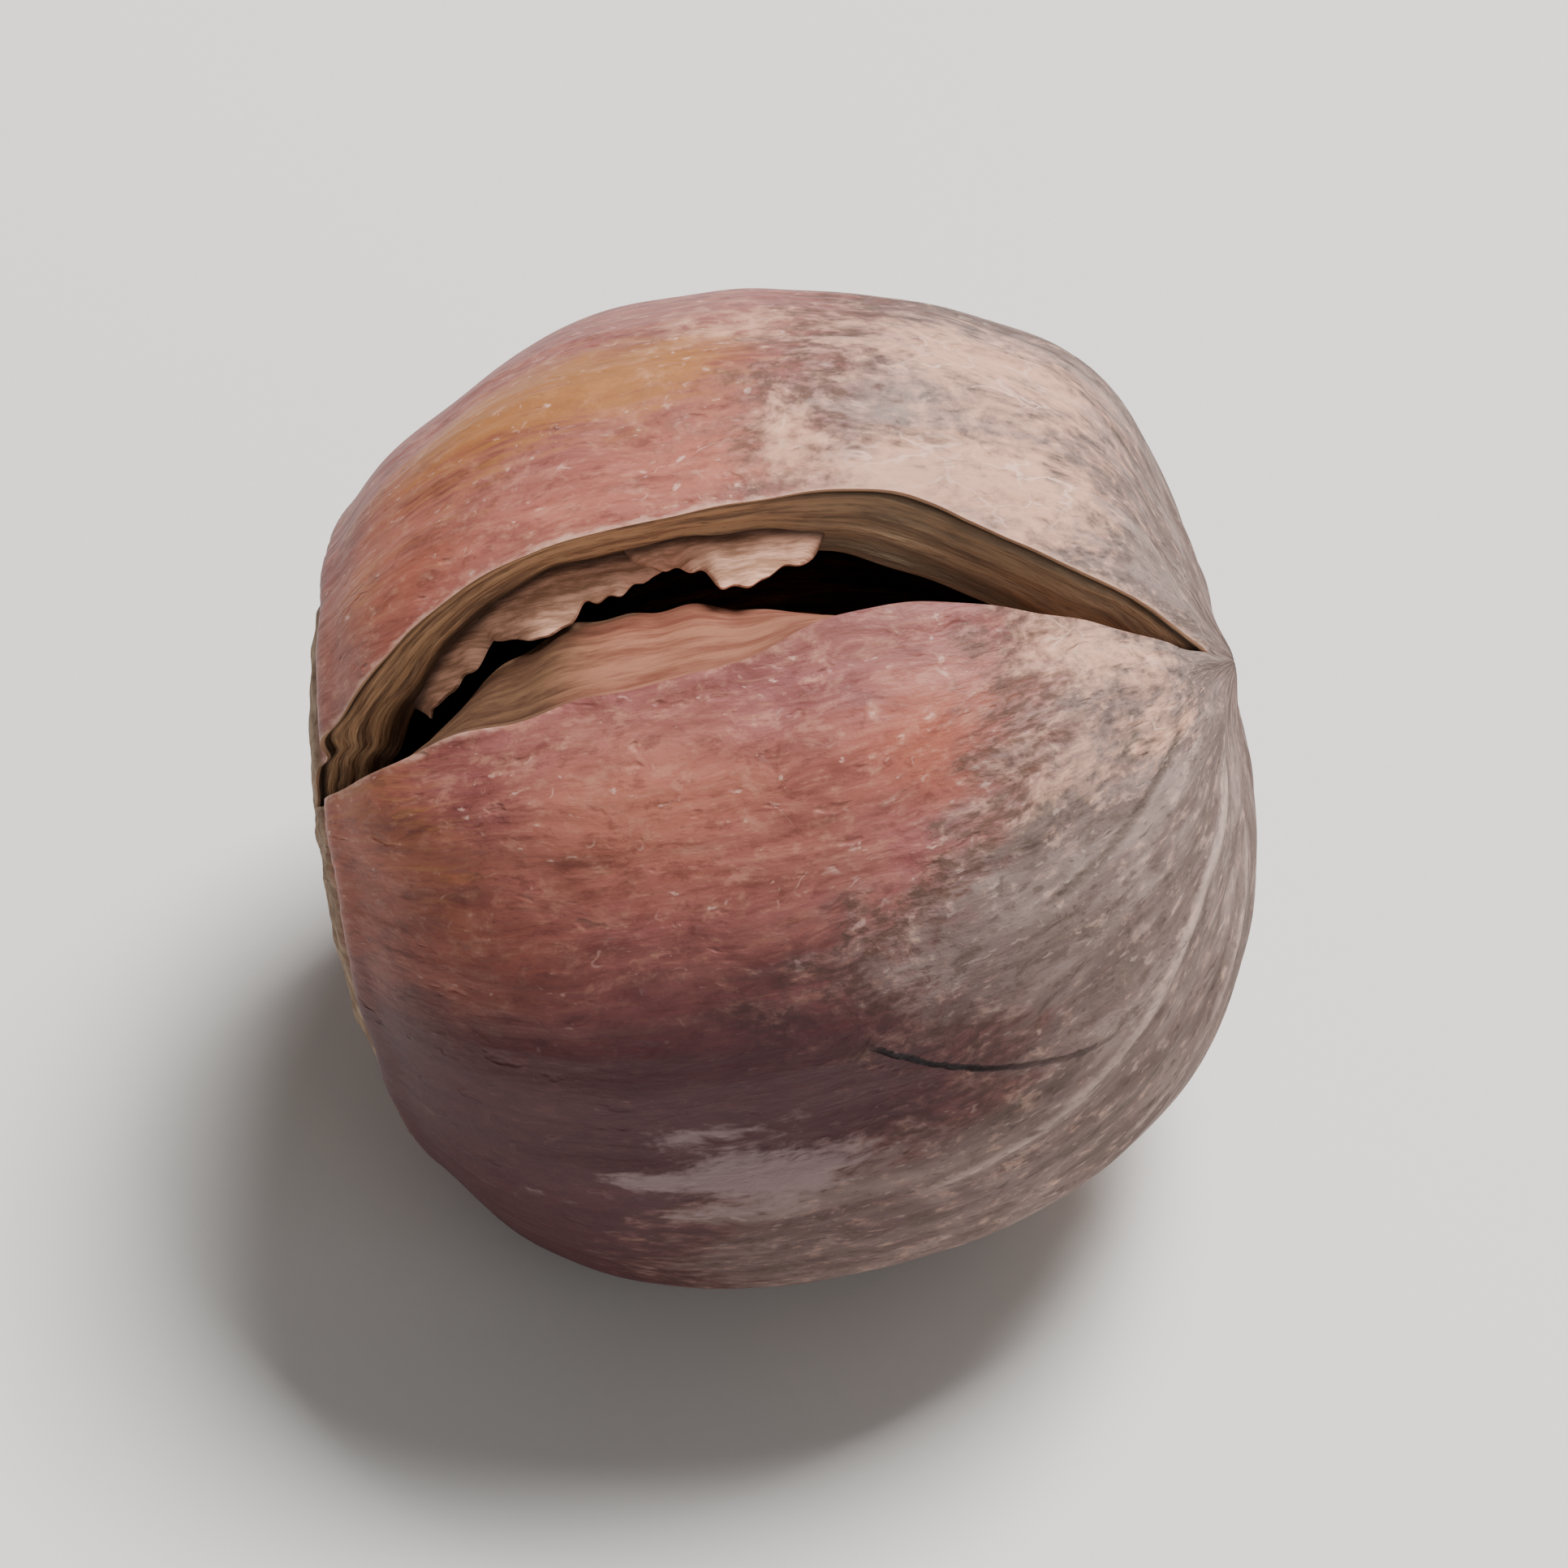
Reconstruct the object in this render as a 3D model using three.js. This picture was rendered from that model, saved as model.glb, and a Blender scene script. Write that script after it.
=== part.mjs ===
// A roasted hazelnut lying on its side, its shell cracked open from the base to the tip,
// with the loose kernel resting inside. Millimetres, Z up, the small flat spot at the origin.
// Latitudes are in degrees from the base (0) to the tip (180); angles turn about the nut's axis.
import * as THREE from 'three';

const { degToRad, lerp } = THREE.MathUtils;

// Shell
const LENGTH = 19.8;
const RADIUS = 10.58;
const BASE_TO_WIDEST = 8.9;
const BLUNTNESS = 2.6;
const BEND = 7.4;
const BELLY = 0.72;
const WALL = 1.35;
const BASE_WALL = 1.5;
const TIP_WALL = 1.7;
const INNER_BLUNTNESS = 2.45;

// Relief of the outside: waves are [how many go round, height, phase]
const RIBS = [[13, 0.055, 0.4], [21, 0.04, 1.1]];
const LUMPS = [[2, 0.1, 0.8], [3, 0.07, -1.2]];
const DISC_RADIUS = 6.3;
const GROOVE_DEPTH = 0.17;
const GROOVE_WIDTH = 0.3;
const RING_RADIUS = DISC_RADIUS + 0.65;
const RING_HEIGHT = 0.16;
const RING_WIDTH = 0.45;
const CREASE_COUNT = 9;
const CREASE_HEIGHT = 0.11;
const CREASE_RADIUS = 2.8;
const CREASE_SPREAD = 1.8;
const CREASE_SWIRL = 0.1;
const NIB_HEIGHT = 0.3;
const NIB_RADIUS = 0.9;

// Where the back shoulder stands out of the oval or falls short of it: [height, latitude, spread]
const SWELLS = [[0.4, 92, 13], [0.42, 147, 14], [-0.33, 62, 14]];
const SWELL_ANGLE = -90;
const SWELL_SPREAD = 45;

// Crack
const CRACK_START = 18;
const CRACK_END = 173;
const CRACK_ANGLE = 8.5;
const CRACK_BOW = 20;
const CRACK_BOW_LATITUDE = 95;
const CRACK_BOW_SPREAD = 170;
const HALF_GAP = 0.55;
const GAP_SKEW = 0.8;
const FRONT_CHIP = 1.85;
const FRONT_CHIP_LATITUDE = 88;
const FRONT_CHIP_SPREADS = [38, 20];
const FRONT_LEDGE = 0.85;
const FRONT_LEDGE_LATITUDE = 76;
const FRONT_LEDGE_SPREAD = 30;
const FRONT_DIP = 0.42;
const FRONT_DIP_LATITUDE = 122;
const FRONT_DIP_SPREAD = 22;
const BACK_SLANT = 0.35;
const BACK_CHIP = 0.45;
const BACK_CHIP_LATITUDE = 115;
const BACK_CHIP_SPREAD = 13;
const BACK_UNDERCUT = 0.55;
const BACK_UNDERCUT_LATITUDE = 66;
const BACK_UNDERCUT_SPREAD = 34;
const BACK_LIFT = 0.5;
const BACK_LIFT_SPREAD = 80;
const RAGGEDNESS = 0.09;
const RAGGED_WAVES = [0.9, 0.37];

// Pose: the tip rises and turns, the crack rolls up, and the nut's middle is over the flat spot
const TIP_RISE = 13;
const TIP_TURN = 2.5;
const ROLL = 43.4;
const MIDDLE = new THREE.Vector3(1.2, 0.55, 10.42);

// Kernel
const KERNEL_BASE = 6.9;
const KERNEL_TIP = 7.6;
const KERNEL_RADIUS = 7.35;
const KERNEL_BLUNTNESS = 2.15;
const KERNEL_WRINKLES = [[7, 0.13, 0.3], [12, 0.09, 1.7]];
const KERNEL_SLIDE = 1;
const KERNEL_DROP = 1.48;

// Grid
const ROW_STEP = 4.5;
const FINE_ROWS = [28, 40];
const TIP_ROWS = [177.5, 179];
const OUTER_COLUMNS = 66;
const INNER_COLUMNS = 30;
const WALL_LAYERS = 2;
const KERNEL_COLUMNS = 36;
const KERNEL_ROWS = 22;

const OUTSIDE = { base: BASE_TO_WIDEST, tip: LENGTH - BASE_TO_WIDEST, radius: RADIUS, power: BLUNTNESS };
const INSIDE = {
  base: OUTSIDE.base - BASE_WALL,
  tip: OUTSIDE.tip - TIP_WALL,
  radius: RADIUS - WALL,
  power: INNER_BLUNTNESS,
};
const KERNEL = { base: KERNEL_BASE, tip: KERNEL_TIP, radius: KERNEL_RADIUS, power: KERNEL_BLUNTNESS };

const bump = (value, middle, spread) => Math.exp(-(((value - middle) / spread) ** 2));

function waves(list, angle) {
  return list.reduce((sum, [count, height, phase]) => sum + height * Math.cos(count * angle + phase), 0);
}

// A blunt oval outline at a latitude: the distance along the axis from the widest ring, the
// radius, and the two parts of the outward normal.
function outline(form, latitude) {
  const cosine = -Math.cos(degToRad(latitude));
  const sine = Math.abs(Math.sin(degToRad(latitude)));
  const half = cosine < 0 ? form.base : form.tip;
  const along = Math.sign(cosine) * Math.abs(cosine) ** (2 / form.power);
  const across = sine ** (2 / form.power);
  const slope = form.power - 1;
  const normalAlong = Math.sign(along) * Math.abs(along) ** slope / half;
  const normalAcross = across ** slope / form.radius;
  const size = Math.hypot(normalAlong, normalAcross);
  return {
    along: along * half,
    radius: across * form.radius,
    normalAlong: normalAlong / size,
    normalAcross: normalAcross / size,
  };
}

// How far the back shoulder swells out of the oval
function swelling(latitude, angle) {
  const round = bump(2 * Math.sin((angle - degToRad(SWELL_ANGLE)) / 2), 0, degToRad(SWELL_SPREAD));
  const add = (sum, [height, middle, spread]) => sum + height * bump(latitude, middle, spread);
  return round * SWELLS.reduce(add, 0);
}

// Ribs and lumps along the sides, a groove and a ring round the base disc, creases at the tip
function relief(latitude, angle, radius) {
  const side = Math.sin(degToRad(latitude));
  const uneven = side ** 1.5 * waves(RIBS, angle) + side ** 2 * waves(LUMPS, angle);
  const height = uneven + swelling(latitude, angle);
  if (latitude < 90) {
    const ring = RING_HEIGHT * bump(radius, RING_RADIUS, RING_WIDTH);
    return height + ring - GROOVE_DEPTH * bump(radius, DISC_RADIUS, GROOVE_WIDTH);
  }
  const creases = Math.cos(CREASE_COUNT * (angle + CREASE_SWIRL * radius));
  const creased = CREASE_HEIGHT * creases * bump(radius, CREASE_RADIUS, CREASE_SPREAD);
  return height + creased + NIB_HEIGHT * bump(radius, 0, NIB_RADIUS);
}

// How far the crack is open at a latitude, as a share of its widest gap
function openness(latitude) {
  const share = (latitude - CRACK_START) / (CRACK_END - CRACK_START);
  return share <= 0 || share >= 1 ? 0 : Math.sin(Math.PI * share ** GAP_SKEW);
}

function crackMiddle(latitude) {
  const turn = Math.PI * (latitude - CRACK_BOW_LATITUDE) / CRACK_BOW_SPREAD;
  return -degToRad(CRACK_ANGLE + CRACK_BOW * Math.cos(turn) ** 2);
}

// The angle of a lip of the crack: side 1 is the front lip, -1 the back one, and depth goes
// from 0 outside to 1 inside. The front lip is chipped outside, with a ledge inside, and it dips
// near the tip. The back lip slants, and it is undercut in the half towards the base.
function lipAngle(side, latitude, depth) {
  const open = openness(latitude);
  const frontSpread = FRONT_CHIP_SPREADS[latitude < FRONT_CHIP_LATITUDE ? 0 : 1];
  const frontChip = FRONT_CHIP * bump(latitude, FRONT_CHIP_LATITUDE, frontSpread);
  const backChip = BACK_SLANT + BACK_CHIP * bump(latitude, BACK_CHIP_LATITUDE, BACK_CHIP_SPREAD);
  const tear = Math.sin(latitude * RAGGED_WAVES[0]) * Math.cos(latitude * RAGGED_WAVES[1]);
  const ledge = FRONT_LEDGE * bump(latitude, FRONT_LEDGE_LATITUDE, FRONT_LEDGE_SPREAD);
  const dip = FRONT_DIP * bump(latitude, FRONT_DIP_LATITUDE, FRONT_DIP_SPREAD);
  const undercut = BACK_UNDERCUT * bump(latitude, BACK_UNDERCUT_LATITUDE, BACK_UNDERCUT_SPREAD);
  const inward = side > 0 ? dip - depth * ledge : depth * undercut;
  const setBack = (1 - depth) * (side > 0 ? frontChip : backChip) + inward + RAGGEDNESS * depth * tear;
  const width = HALF_GAP * open + setBack * Math.min(1, 3 * open);
  return crackMiddle(latitude) + side * width / wallSection(latitude, depth).radius;
}

// The shell is sprung outwards behind the crack, most at its back lip
function lift(latitude, angleFromBackLip) {
  const share = Math.min(1, angleFromBackLip / degToRad(BACK_LIFT_SPREAD));
  return BACK_LIFT * openness(latitude) * (1 - share) ** 2 * (1 + 2 * share);
}

// The nut's axes in the world: X is angle 0, and Z runs along the axis to the tip
function nutAxes() {
  const rise = degToRad(TIP_RISE);
  const turn = degToRad(TIP_TURN);
  const axis = new THREE.Vector3(Math.cos(turn), Math.sin(turn), Math.tan(rise)).normalize();
  const upward = new THREE.Vector3(0, 0, 1).addScaledVector(axis, -axis.z).normalize();
  const zero = upward.clone().applyAxisAngle(axis, degToRad(ROLL));
  const quarter = axis.clone().cross(zero);
  return new THREE.Matrix4().makeBasis(zero, quarter, axis).setPosition(MIDDLE);
}

const NUT = nutAxes();
const BEND_RADIUS = LENGTH / degToRad(BEND);

// A point along and about the axis, bent and bellied like the nut, in the world
function place(along, radius, angle) {
  const share = (along + BASE_TO_WIDEST) / LENGTH;
  const swing = (share - 0.5) * degToRad(BEND);
  const arm = BEND_RADIUS + radius * Math.sin(angle) + BELLY * Math.sin(Math.PI * share);
  const bent = new THREE.Vector3(
    radius * Math.cos(angle),
    arm * Math.cos(swing) - BEND_RADIUS,
    arm * Math.sin(swing),
  );
  return bent.applyMatrix4(NUT);
}

// The outline at a depth in the shell's wall, from 0 outside to 1 inside
function wallSection(latitude, depth) {
  const outer = outline(OUTSIDE, latitude);
  const inner = outline(INSIDE, latitude);
  return {
    ...outer,
    along: lerp(outer.along, inner.along, depth),
    radius: lerp(outer.radius, inner.radius, depth),
  };
}

function wallPoint(latitude, angle, depth, lifted) {
  const section = wallSection(latitude, depth);
  const height = depth > 0 ? 0 : relief(latitude, angle, section.radius);
  const along = section.along + section.normalAlong * height;
  const radius = section.radius + section.normalAcross * (height + lifted);
  const point = place(along, radius, angle);
  point.z = depth > 0 ? point.z : Math.max(point.z, 0);
  return point;
}

// Collects vertices and triangles, and leaves out triangles that have shrunk to a line
class MeshBuilder {
  positions = [];

  indices = [];

  vertex(point) {
    this.positions.push(point.x, point.y, point.z);
    return this.positions.length / 3 - 1;
  }

  triangle(a, b, c) {
    if (a !== b && b !== c && c !== a) this.indices.push(a, b, c);
  }

  quad(a, b, c, d) {
    this.triangle(a, b, c);
    this.triangle(a, c, d);
  }

  geometry() {
    const geometry = new THREE.BufferGeometry();
    geometry.setAttribute('position', new THREE.Float32BufferAttribute(this.positions, 3));
    geometry.setIndex(this.indices);
    geometry.computeVertexNormals();
    return geometry;
  }
}

// Latitudes of the rows, closer together at the ring round the base disc and at the tip
function rowLatitudes() {
  const rows = [0];
  for (let latitude = ROW_STEP; latitude < 180; latitude += ROW_STEP) {
    rows.push(latitude);
    if (latitude > FINE_ROWS[0] && latitude < FINE_ROWS[1]) rows.push(latitude + ROW_STEP / 2);
  }
  return [...rows, ...TIP_ROWS, 180];
}

// One row of vertices at one depth, from the front lip right round to the back lip
function ringOfVertices(builder, latitude, depth, columns) {
  if (latitude === 0 || latitude === 180) {
    return new Array(columns + 1).fill(builder.vertex(wallPoint(latitude, 0, depth, 0)));
  }
  const from = lipAngle(1, latitude, depth);
  const to = lipAngle(-1, latitude, depth) + 2 * Math.PI;
  const lastColumn = openness(latitude) > 0 ? columns : columns - 1;
  const ring = [];
  for (let column = 0; column <= lastColumn; column += 1) {
    const angle = lerp(from, to, column / columns);
    ring.push(builder.vertex(wallPoint(latitude, angle, depth, lift(latitude, to - angle))));
  }
  return lastColumn === columns ? ring : [...ring, ring[0]];
}

// The vertices of one lip through the wall, from the outside in
function lipVertices(builder, row, side) {
  const column = side > 0 ? 0 : -1;
  const lip = [row.outer.at(column)];
  for (let layer = 1; layer < WALL_LAYERS; layer += 1) {
    const depth = layer / WALL_LAYERS;
    const angle = lipAngle(side, row.latitude, depth);
    const lifted = side > 0 ? 0 : lift(row.latitude, 0);
    lip.push(builder.vertex(wallPoint(row.latitude, angle, depth, lifted)));
  }
  return [...lip, row.inner.at(column)];
}

// The cut faces of the crack, between the closed rows at its two ends
function addCutFaces(builder, rows) {
  const isOpen = (row) => row !== undefined && openness(row.latitude) > 0;
  const cutRows = rows.filter((row, index) => [index - 1, index, index + 1].some((i) => isOpen(rows[i])));
  const lips = cutRows.map((row) => {
    const front = lipVertices(builder, row, 1);
    return { front, back: isOpen(row) ? lipVertices(builder, row, -1) : front };
  });
  for (let row = 1; row < lips.length; row += 1) {
    for (let layer = 1; layer <= WALL_LAYERS; layer += 1) {
      const [a, b] = [lips[row - 1].front, lips[row].front];
      builder.quad(a[layer - 1], b[layer - 1], b[layer], a[layer]);
      const [c, d] = [lips[row - 1].back, lips[row].back];
      builder.quad(c[layer - 1], c[layer], d[layer], d[layer - 1]);
    }
  }
}

function shellGeometry() {
  const builder = new MeshBuilder();
  const rows = rowLatitudes().map((latitude) => ({
    latitude,
    outer: ringOfVertices(builder, latitude, 0, OUTER_COLUMNS),
    inner: ringOfVertices(builder, latitude, 1, INNER_COLUMNS),
  }));
  for (let row = 1; row < rows.length; row += 1) {
    const [a, b] = [rows[row - 1], rows[row]];
    for (let column = 1; column <= OUTER_COLUMNS; column += 1) {
      builder.quad(a.outer[column - 1], a.outer[column], b.outer[column], b.outer[column - 1]);
    }
    for (let column = 1; column <= INNER_COLUMNS; column += 1) {
      builder.quad(a.inner[column - 1], b.inner[column - 1], b.inner[column], a.inner[column]);
    }
  }
  addCutFaces(builder, rows);
  return builder.geometry();
}

// The wrinkled kernel, moved down until it lies on the inside of the shell
function kernelGeometry() {
  const geometry = new THREE.SphereGeometry(1, KERNEL_COLUMNS, KERNEL_ROWS).rotateX(Math.PI / 2);
  const position = geometry.getAttribute('position');
  const direction = new THREE.Vector3();
  for (let index = 0; index < position.count; index += 1) {
    direction.fromBufferAttribute(position, index);
    const latitude = THREE.MathUtils.radToDeg(Math.acos(THREE.MathUtils.clamp(-direction.z, -1, 1)));
    const angle = Math.atan2(direction.y, direction.x);
    const section = outline(KERNEL, latitude);
    const wrinkle = waves(KERNEL_WRINKLES, angle) * Math.sin(degToRad(latitude)) ** 2;
    const point = place(section.along + KERNEL_SLIDE, section.radius + wrinkle, angle);
    position.setXYZ(index, point.x, point.y, point.z - KERNEL_DROP);
  }
  geometry.computeVertexNormals();
  return geometry;
}

function piece(name, geometry, colour, roughness) {
  const material = new THREE.MeshStandardMaterial({ color: colour, roughness, metalness: 0 });
  const mesh = new THREE.Mesh(geometry, material);
  mesh.name = name;
  return mesh;
}

const hazelnut = new THREE.Group();
hazelnut.name = 'hazelnut';
hazelnut.add(piece('shell', shellGeometry(), 0x96593f, 0.55));
hazelnut.add(piece('kernel', kernelGeometry(), 0x7a4526, 0.75));

export default hazelnut;
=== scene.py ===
# A roasted hazelnut lying on its side, its shell cracked open from the base to the tip.
# Forms are worked out in millimetres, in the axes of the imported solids, and turned into metres
# when a mesh is made. Latitudes are in degrees from the base (0) to the tip (180), and angles
# turn about the nut's axis.
import math
from types import SimpleNamespace

import bpy
import numpy as np
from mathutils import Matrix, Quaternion, Vector


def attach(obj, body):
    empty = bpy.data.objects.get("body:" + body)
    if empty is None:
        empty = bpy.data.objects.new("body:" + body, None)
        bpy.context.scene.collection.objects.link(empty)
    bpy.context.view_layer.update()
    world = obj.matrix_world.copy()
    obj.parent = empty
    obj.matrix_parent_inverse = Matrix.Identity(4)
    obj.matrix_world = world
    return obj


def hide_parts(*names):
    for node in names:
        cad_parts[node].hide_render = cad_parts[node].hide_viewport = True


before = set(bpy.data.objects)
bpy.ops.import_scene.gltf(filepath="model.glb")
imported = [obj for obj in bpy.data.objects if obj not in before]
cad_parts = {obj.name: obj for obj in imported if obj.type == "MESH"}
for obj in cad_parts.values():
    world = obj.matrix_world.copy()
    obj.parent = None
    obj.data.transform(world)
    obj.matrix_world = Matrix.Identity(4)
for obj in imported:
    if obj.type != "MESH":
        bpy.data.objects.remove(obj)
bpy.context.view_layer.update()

MM = 0.001
TURN = 2 * math.pi
draws = np.random.default_rng(21)

# Shell
LENGTH = 19.8
RADIUS = 10.58
BASE_TO_WIDEST = 8.9
BLUNTNESS = 2.6
BEND = math.radians(7.4)
BELLY = 0.72
WALL = 1.35
BASE_WALL = 1.5
TIP_WALL = 1.7
INNER_BLUNTNESS = 2.45

# Relief of the outside: waves are (how many go round, height, phase)
RIBS = [(13, 0.055, 0.4), (21, 0.04, 1.1)]
LUMPS = [(2, 0.1, 0.8), (3, 0.07, -1.2)]
DISC_RADIUS = 6.3
GROOVE_DEPTH = 0.17
GROOVE_WIDTH = 0.3
RING_RADIUS = DISC_RADIUS + 0.65
RING_HEIGHT = 0.16
RING_WIDTH = 0.45
CREASE_COUNT = 9
CREASE_HEIGHT = 0.11
CREASE_RADIUS = 2.8
CREASE_SPREAD = 1.8
CREASE_SWIRL = 0.1
NIB_HEIGHT = 0.3
NIB_RADIUS = 0.9

# Where the back shoulder stands out of the oval or falls short of it: (height, latitude, spread)
SWELLS = [(0.4, 92, 13), (0.42, 147, 14), (-0.33, 62, 14)]
SWELL_ANGLE = math.radians(-90)
SWELL_SPREAD = math.radians(45)

# Crack
CRACK_START = 18
CRACK_END = 173
CRACK_ANGLE = 8.5
CRACK_BOW = 20
CRACK_BOW_LATITUDE = 95
CRACK_BOW_SPREAD = 170
HALF_GAP = 0.55
GAP_SKEW = 0.8
FRONT_CHIP = 1.85
FRONT_CHIP_LATITUDE = 88
FRONT_CHIP_SPREADS = (38, 20)
FRONT_LEDGE = 0.85
FRONT_LEDGE_LATITUDE = 76
FRONT_LEDGE_SPREAD = 30
FRONT_DIP = 0.42
FRONT_DIP_LATITUDE = 122
FRONT_DIP_SPREAD = 22
BACK_SLANT = 0.35
BACK_CHIP = 0.45
BACK_CHIP_LATITUDE = 115
BACK_CHIP_SPREAD = 13
BACK_UNDERCUT = 0.55
BACK_UNDERCUT_LATITUDE = 66
BACK_UNDERCUT_SPREAD = 34
BACK_LIFT = 0.5
BACK_LIFT_SPREAD = math.radians(80)

# Torn edges of the crack. Depths in the wall are shares of it, from 0 outside to 1 inside
SKIN_OVERHANG = 0.14
SKIN_DEPTH = 0.04
SKIN_STEP = 0.08
SKIN_RAGGEDNESS = 0.012
CHIP_RAGGEDNESS = 0.07
CHIP_RAGGED_SPREAD = 30
CHIP_ROUNDED = (72, 94)
LAYER_COUNT = 4
LAYER_HEIGHT = 0.026
LAYER_START = 0.15
LAYER_DRIFT = 0.12
INNER_RAGGEDNESS = 0.06

# The two lips read the same random waves this far apart, so that they tear differently
LIPS_APART = 50

# The cut's shape fades out where the crack is open less than this share of its widest gap
NARROW = 1 / 3
SMALLEST_RADIUS = 0.1

# Pose
TIP_RISE = math.radians(13)
TIP_TURN = math.radians(2.5)
ROLL = math.radians(43.4)
MIDDLE = np.array([1.2, 0.55, 10.42])

# Kernel
KERNEL_BASE = 6.9
KERNEL_TIP = 7.6
KERNEL_RADIUS = 7.35
KERNEL_BLUNTNESS = 2.15
KERNEL_WRINKLES = [(7, 0.13, 0.3), (12, 0.09, 1.7)]
KERNEL_SLIDE = 1
KERNEL_DROP = 1.48
KERNEL_FURROW = 0.11
KERNEL_GRIT_HEIGHT = 0.02

# Torn strips of the lining, as (from latitude, to latitude, share of the gap, depth of the root)
LINING_STRIPS = [(44, 70, 0.5, 0.88), (63, 93, 0.95, 0.86), (89, 110, 0.68, 0.7)]
LINING_DROOP = 0.2
LINING_THICKNESS = 0.07
LINING_ROOT = 0.15
LINING_TEARS = 0.2
LINING_FRAYS = 0.055
LINING_CURL = 0.05
LINING_TAPER = 0.7
LINING_THIN_END = 0.06

# Fine relief
FIBRE_HEIGHT = 0.012
DENT_HEIGHT = 0.018
TIP_RIDGE_HEIGHT = 0.036
TIP_RIDGE_START = 100
TIP_RIDGE_RISE = 40
TIP_RIDGE_RADIUS = 3
TIP_LINE_HEIGHT = 0.09
TIP_LINE_FADE = 9
DISC_ROUGHNESS = 0.035
DISC_EDGE = 0.3

# Single ridges and furrows that run to the tip: height (below 0 for a furrow), half width in mm,
# and then places on the way as (latitude, angle)
TIP_LINES = [
    (1, 0.22, (96, 58), (112, 57), (132, 52), (151, 44), (174, 42)),
    (0.8, 0.22, (118, 77), (142, 76), (157, 76), (172, 79)),
    (-0.9, 0.16, (118, 24), (134, 22), (144, 19), (157, 13), (164, 8)),
    (0.5, 0.2, (126, 28), (136, 28), (150, 22), (172, 14)),
    (0.7, 0.25, (108, 115), (140, 112), (172, 105)),
    (0.6, 0.22, (115, 158), (140, 155), (170, 150)),
    (0.8, 0.28, (112, 206), (140, 203), (172, 200)),
    (0.6, 0.22, (120, 250), (144, 250), (170, 246)),
]

# Grey-beige down covers the nut beyond this edge, given as (angle, latitude)
DOWN_EDGE = [
    (-70, 108), (-47, 103), (-34, 104), (-16, 128), (-7, 127), (5, 121), (12, 113), (17, 103),
    (23, 97), (30, 99), (38, 109), (46, 106), (52, 88), (60, 76), (70, 70), (120, 92), (180, 108),
    (240, 112),
]
DOWN_SOFTNESS = 10

# Patches on the skin, as (latitude, angle, spread along, spread round, strength)
OCHRE_PATCHES = [
    (90, -58, 12, 9, 1), (76, -57, 12, 8, 0.9), (60, -54, 12, 7, 0.6), (50, -38, 9, 6, 0.4),
    (72, -44, 10, 5, 0.3), (44, -8, 14, 6, 0.5), (60, 2, 10, 8, 0.4), (70, 150, 18, 14, 0.45),
    (80, 215, 22, 16, 0.5),
]
RUSSET_PATCHES = [
    (44, 6, 22, 26, 0.9), (52, -38, 20, 16, 0.9), (66, 20, 18, 14, 0.5), (62, 80, 24, 20, 0.5),
    (50, 230, 22, 30, 0.8), (113, -3, 12, 9, 0.7), (70, -60, 16, 12, 0.5),
]
# Rosy patches: partly a real pinker tint, partly painted sheen where the upper shell beside the crack is
# lit
ROSY_AND_SHEEN_PATCHES = [
    (98, -42, 15, 10, 0.6), (82, -36, 12, 6, 0.5), (88, 0, 17, 12, 0.7), (120, -4, 12, 9, 0.3),
    (96, 170, 20, 16, 0.5),
]
# Painted shade: dark purple-brown patches where the lower side of the nut is in shade
PAINTED_SHADE_PATCHES = [
    (42, 42, 26, 27, 0.9), (74, 42, 24, 26, 0.9), (98, 36, 16, 15, 0.8), (114, 42, 10, 9, 0.25),
    (92, 66, 20, 9, 0.6), (56, 78, 30, 22, 0.9), (60, 110, 26, 24, 0.6), (52, 185, 20, 18, 0.4),
]
# Pale pinkish down: partly its own colour, partly painted light where the top of the shell beside the crack
# is lit
PALE_AND_LIT_PATCHES = [
    (118, -37, 12, 6, 1), (136, -34, 14, 9, 1), (124, -62, 16, 13, 0.8), (142, -60, 18, 20, 0.5),
    (104, -43, 3, 6, 1), (98, -67, 7, 6, 0.7), (136, -11, 8, 7, 0.75), (150, -6, 12, 8, 0.75),
    (152, 9, 13, 6, 0.75), (130, 7, 8, 7, 0.5), (118, 120, 14, 7, 0.6),
    (125, 200, 16, 8, 0.7),
]
BLOOM_PATCHES = [
    (90, 48, 7, 6, 1), (99, 46, 6, 4, 0.5), (80, 47, 5, 2, 0.9), (85, 40, 5, 2, 0.7),
    (84, 54, 6, 2, 0.6),
]

# A hairline split in the front, from and to (latitude, angle), and its bow in mm
HAIRLINE = [(99.5, 30.2), (131, 50.3)]
HAIRLINE_BOW = 0.42

# What the shaders read, in mm: the radius of their grain, how far from the disc's edge, the hairline
# and the lips they still tell distances, and how much further from its lip a rounded chip counts
GRAIN_RADIUS = 10
DISC_REACH = 3
HAIRLINE_REACH = 3
LIP_REACH = 9
ROUNDED_EXTRA = 3

# How much the dull outside and cut reflect, and how many lumps of grit lie in a metre of the disc
LOW_SPECULAR = 0.2
GRIT = 2200

# The numbers of the shell's materials, in the order in which its piece is given them
OUTER_MATERIAL, CUT_MATERIAL, INNER_MATERIAL = range(3)

# Grids
SHELL_ROWS = 194
OUTER_COLUMNS = 384
INNER_COLUMNS = 72
WALL_LAYERS = 16
STRIP_ROWS = 110
STRIP_COLUMNS = 10
KERNEL_ROWS = 110
KERNEL_COLUMNS = 200

# Stage, in metres. The camera looks from the front at the photo's angle
VIEW_ELEVATION = math.radians(47)
VIEW_DISTANCE = 0.19
LENS = 200
AIM = Vector((0.0013, 0.0, 0.0104))
FLOOR_SIZE = 3
FLOOR_COLOUR = "#e6e3de"
SKY_COLOUR = "#f2f3f5"
SKY_STRENGTH = 0.21

# Lights, as (name, place, size, power)
LIGHTS = [("key", (0.14, 0.1, 0.42), 0.18, 4.1), ("fill", (0.3, -0.4, 0.3), 0.3, 0.5)]

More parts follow.
